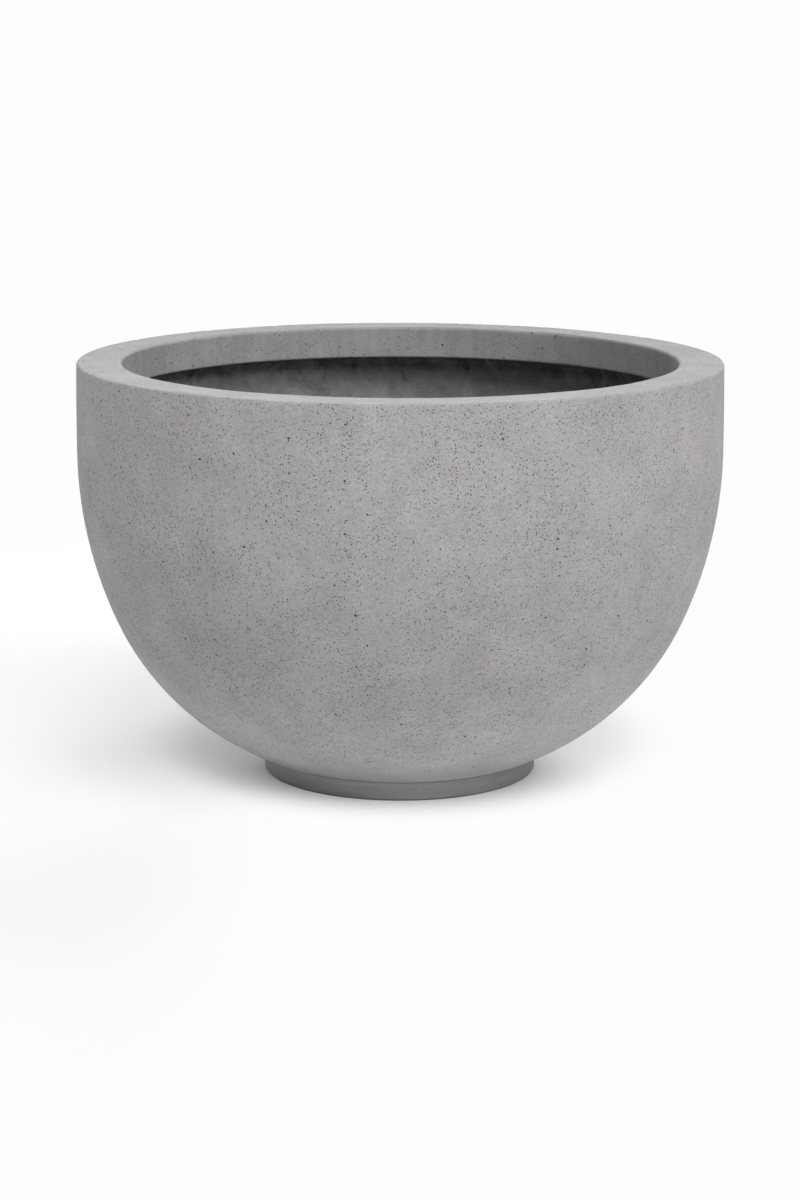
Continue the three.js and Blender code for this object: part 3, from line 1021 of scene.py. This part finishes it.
class PLANTER_OT_plug(bpy.types.Operator):
    """Makes the ribbed rubber plug in the drain hole"""

    bl_idname = "planter.plug"
    bl_label = "Drain plug"

    COLUMNS = 128
    STEM_STEPS = 90  # points along the stem
    CAP_STEPS = 40  # points from the head's rim to the axis
    TAPER = 0.7 * MM  # how much slimmer the stem is at its tip
    RIB = 0.7 * MM  # how far a rib stands out
    PITCHES = 4  # rib spacings along the stem
    RIBBED = (0.5, 3.05)  # from where to where the stem has ribs, in pitches from the tip
    RAMP = (0.62, 0.97)  # the part of a pitch over which a rib rises
    TIP_EDGE = 0.4 * MM  # how far the tip's edge is turned in
    HEAD_ROUNDS = {1: 1 * MM, 2: 3 * MM}  # of the head's lower and upper edge
    CAP_EDGE = 3.2 * MM  # from the head's side to where its flat top starts
    DISH = 0.9 * MM  # depth of the dished ring in the head's top
    BUTTON = (5 * MM, 7 * MM)  # where the middle button ends and the dish is at full depth
    GRIP = (11 * MM, 13.5 * MM)  # where the dish starts to rise and the rim is reached

    def execute(self, context):
        piece = capped_piece("plug", self.profile(context.scene.planter_sizes), self.COLUMNS)
        dress(piece, moulded_rubber(context.scene.planter_colours), "plug", "drain_plug")
        return {"FINISHED"}

    def profile(self, s):
        """From the tip on the axis, up the ribbed stem, out round the head and back to the axis.
        A rib's radius rises along its ramp and drops at its crest, and a dished ring in the head's
        top leaves a rim and a middle button to grip."""
        tip = PLUG_BOX[0].z
        top = PLUG_BOX[1].z
        seat = top - s.plug_head
        stem = np.linspace(tip, seat, self.STEM_STEPS)
        cone = s.drain_radius - s.gap - self.TAPER * (seat - stem) / (seat - tip)
        pitch = (seat - tip) / self.PITCHES
        phase = ((stem - tip) / pitch) % 1
        ribbed = (stem > tip + self.RIBBED[0] * pitch) & (stem < tip + self.RIBBED[1] * pitch)
        rib = np.where(ribbed, step_up(phase, *self.RAMP), 0)
        stem_radius = cone - self.RIB * (1 - rib)
        stem_radius[0] -= self.TIP_EDGE
        head = rounded(
            np.array([[0, seat], [s.plug_radius, seat], [s.plug_radius, top], [0, top]]),
            self.HEAD_ROUNDS,
        )[1:-1]
        across = np.linspace(s.plug_radius - self.CAP_EDGE, 0, self.CAP_STEPS)
        dish = self.DISH * step_up(across, *self.BUTTON) * (1 - step_up(across, *self.GRIP))
        cap = np.column_stack([across, top - dish])
        start = [[0, tip], [0.5 * stem_radius[0], tip]]
        return np.vstack([start, np.column_stack([stem_radius, stem]), head, cap])


class PLANTER_OT_fillings(bpy.types.Operator):
    """Gives the rim's core and the mortar bed their finish"""

    bl_idname = "planter.fillings"
    bl_label = "Core and mortar"

    def execute(self, context):
        material = packed_mortar(context.scene.planter_colours)
        for name in ("rim_core", "foot_mortar"):
            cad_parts[name].material_slots[0].material = material
        return {"FINISHED"}


# ---- Stage ----

CAMERA_DISTANCE = 2370.4 * MM
CAMERA_HEIGHT = 649.5 * MM
CAMERA_TILT = math.radians(12.033)  # below the horizon
CAMERA_ROLL = math.radians(-0.12)
CAMERA_SHIFT = -0.0009  # of the frame's long side
CAMERA_LENS = 85.60  # millimetres, where the frame's long side is as below
FRAME_SIDE = 36.0  # millimetres
CAMERA_SIGHT = 1500.0  # metres, past the floor's corners
FLOOR_REACH = 600.0  # metres from the middle, so that the floor's end lies at the horizon

PLAIN_WHITE = {"Color": (1, 1, 1, 1), "Strength": 0.985}  # what the camera sees as the backdrop
SKY_LIGHT = {"Color": (1, 1, 1, 1), "Strength": 0.02}  # what the sky adds to the lamps

# the floor's fade to white
FADE_BACK = 107.4 * MM  # its middle lies this far behind the planter's axis
FADE_WIDTH = 0.868  # its width over its depth
FADE_REACH = 245.4 * MM  # from its middle to where about a third of the floor's own shade is left
FADE_POWER = 8.31  # how suddenly it comes
SHADOW_SIDE = ("X", -261 * MM, -86 * MM, 0.393, 1.0)  # how it weakens toward the left
FAR_WHITE = (700 * MM, 1050 * MM)  # between these distances the last shade goes everywhere

LAMP_WIDTH = math.radians(40)  # as seen from the planter, so that the shadows are soft
# name, share of the light at which a face square to it shows its colour as written, degrees above
# the horizon, and degrees round from the camera to the right
LAMPS = (
    ("above_camera", 0.67, 60, 0),
    ("right", 0.35, 35, 45),
    ("behind_right", 0.33, 35, 135),
    ("behind_left", 0.24, 12, -135),
    ("backdrop", 0.80, 12, 180),
)


class PLANTER_OT_stage(bpy.types.Operator):
    """Sets the pale floor, the soft studio light and the camera"""

    bl_idname = "planter.stage"
    bl_label = "Stage"

    def execute(self, context):
        self.floor(context)
        self.sky(context)
        self.lamps(context)
        self.camera(context)
        context.scene.view_settings.view_transform = "Standard"
        return {"FINISHED"}

    def floor(self, context):
        """A matt white floor that is seen to fade to plain white away from the foot, as in a
        cleaned-up studio picture. From below it is clear, so that the foot's underside shows."""
        corners = FLOOR_REACH * np.array([[-1, -1, 0], [1, -1, 0], [1, 1, 0], [-1, 1, 0]])
        floor = make_mesh("floor", corners, [[0, 1, 2, 3]])
        material, tree, place = new_material("matt_white_studio_floor")
        matt = add(tree, "ShaderNodeBsdfDiffuse", Color=rgba(context.scene.planter_colours.floor))
        white = add(tree, "ShaderNodeEmission", **PLAIN_WHITE)
        clear = add(tree, "ShaderNodeBsdfTransparent")
        share = self.white_share(tree, place)
        above = add(tree, "ShaderNodeMixShader", _0=share, _1=matt.outputs[0], _2=white.outputs[0])
        below = add(tree, "ShaderNodeNewGeometry").outputs["Backfacing"]
        both = add(tree, "ShaderNodeMixShader", _0=below, _1=above.outputs[0], _2=clear.outputs[0])
        add(tree, "ShaderNodeOutputMaterial", Surface=both.outputs[0])
        floor.data.materials.append(material)

    @staticmethod
    def white_share(tree, place):
        """How much of the floor is plain white: one minus exp(-(d / reach)^power), where d is the
        distance from the fade's middle in its own width and depth. It is less on the left, where
        the long shadow stays, and one far away. Nought for light that the floor throws back."""
        parts = add(tree, "ShaderNodeSeparateXYZ", Vector=place).outputs
        across = add(tree, "ShaderNodeMath", DIVIDE, _0=parts["X"], _1=FADE_WIDTH).outputs[0]
        back = add(tree, "ShaderNodeMath", SUBTRACT, _0=parts["Y"], _1=FADE_BACK).outputs[0]
        flat = add(tree, "ShaderNodeCombineXYZ", X=across, Y=back).outputs[0]
        away = add(tree, "ShaderNodeVectorMath", LENGTH, _0=flat).outputs["Value"]
        steep = away
        for operation, value in (("DIVIDE", FADE_REACH), ("POWER", FADE_POWER), ("MULTIPLY", -1.0)):
            steep = add(
                tree, "ShaderNodeMath", {"operation": operation}, _0=steep, _1=value
            ).outputs[0]
        kept = add(tree, "ShaderNodeMath", {"operation": "EXPONENT"}, _0=steep).outputs[0]
        gone = add(tree, "ShaderNodeMath", SUBTRACT, _0=1.0, _1=kept).outputs[0]
        side = gain_along(tree, place, *SHADOW_SIDE)
        near_share = add(tree, "ShaderNodeMath", MULTIPLY, _0=gone, _1=side).outputs[0]
        far_share = add(
            tree, "ShaderNodeMapRange", SMOOTH, Value=away,
            From_Min=FAR_WHITE[0], From_Max=FAR_WHITE[1],
        ).outputs["Result"]
        share = add(tree, "ShaderNodeMath", MAXIMUM, _0=near_share, _1=far_share).outputs[0]
        return add(tree, "ShaderNodeMath", MULTIPLY, _0=share, _1=looked_at(tree)).outputs[0]

    @staticmethod
    def sky(context):
        """A plain white backdrop that is seen but throws hardly any light."""
        world = bpy.data.worlds.new("studio")
        world.use_nodes = True
        tree = world.node_tree
        tree.nodes.clear()
        soft, white = (
            add(tree, "ShaderNodeBackground", **light).outputs[0]
            for light in (SKY_LIGHT, PLAIN_WHITE)
        )
        mixed = add(tree, "ShaderNodeMixShader", _0=looked_at(tree), _1=soft, _2=white)
        add(tree, "ShaderNodeOutputWorld", Surface=mixed.outputs[0])
        context.scene.world = world

    @staticmethod
    def lamps(context):
        """Five wide, far lamps: the soft box above the camera, one to its right, and three low ones
        that stand for the pale backdrop behind."""
        for name, share, up, side in LAMPS:
            lamp = bpy.data.lights.new(name, "SUN")
            lamp.energy = share * math.pi
            lamp.angle = LAMP_WIDTH
            made = bpy.data.objects.new(name, lamp)
            made.rotation_euler = (math.radians(90 - up), 0, math.radians(side))
            context.scene.collection.objects.link(made)

    @staticmethod
    def camera(context):
        """The photograph's camera, fitted to the outlines of rim, mouth, side and foot."""
        lens = bpy.data.cameras.new("view")
        lens.lens = CAMERA_LENS
        lens.sensor_width = FRAME_SIDE
        lens.clip_end = CAMERA_SIGHT
        lens.shift_x = CAMERA_SHIFT
        camera = bpy.data.objects.new("view", lens)
        camera.location = (0, -CAMERA_DISTANCE, CAMERA_HEIGHT)
        camera.rotation_euler = (math.pi / 2 - CAMERA_TILT, CAMERA_ROLL, 0)
        context.scene.collection.objects.link(camera)
        context.scene.camera = camera


# ---- Add-on ----

OPERATORS = (
    PLANTER_OT_casting,
    PLANTER_OT_lining,
    PLANTER_OT_foot,
    PLANTER_OT_plug,
    PLANTER_OT_fillings,
    PLANTER_OT_stage,
)


class PLANTER_PT_panel(bpy.types.Panel):
    """Lists the planter's sizes, colours and steps"""

    bl_idname = "PLANTER_PT_panel"
    bl_label = "Concrete Bowl Planter"
    bl_space_type = "VIEW_3D"
    bl_region_type = "UI"
    bl_category = "Planter"

    def draw(self, context):
        for group in (context.scene.planter_sizes, context.scene.planter_colours):
            column = self.layout.column(align=True)
            for name in group.__annotations__:
                column.prop(group, name)
        for operator in OPERATORS:
            self.layout.operator(operator.bl_idname)


CLASSES = (PlanterSizes, PlanterColours, *OPERATORS, PLANTER_PT_panel)


def register():
    """Registers the classes, and gives each scene its sizes and colours."""
    for cls in CLASSES:
        bpy.utils.register_class(cls)
    bpy.types.Scene.planter_sizes = PointerProperty(type=PlanterSizes)
    bpy.types.Scene.planter_colours = PointerProperty(type=PlanterColours)


def unregister():
    """Undoes what register does."""
    del bpy.types.Scene.planter_sizes
    del bpy.types.Scene.planter_colours
    for cls in reversed(CLASSES):
        bpy.utils.unregister_class(cls)


def main():
    register()
    bpy.ops.planter.casting()
    bpy.ops.planter.lining()
    bpy.ops.planter.foot()
    bpy.ops.planter.plug()
    bpy.ops.planter.fillings()
    bpy.ops.planter.stage()


if __name__ == "__main__":
    main()
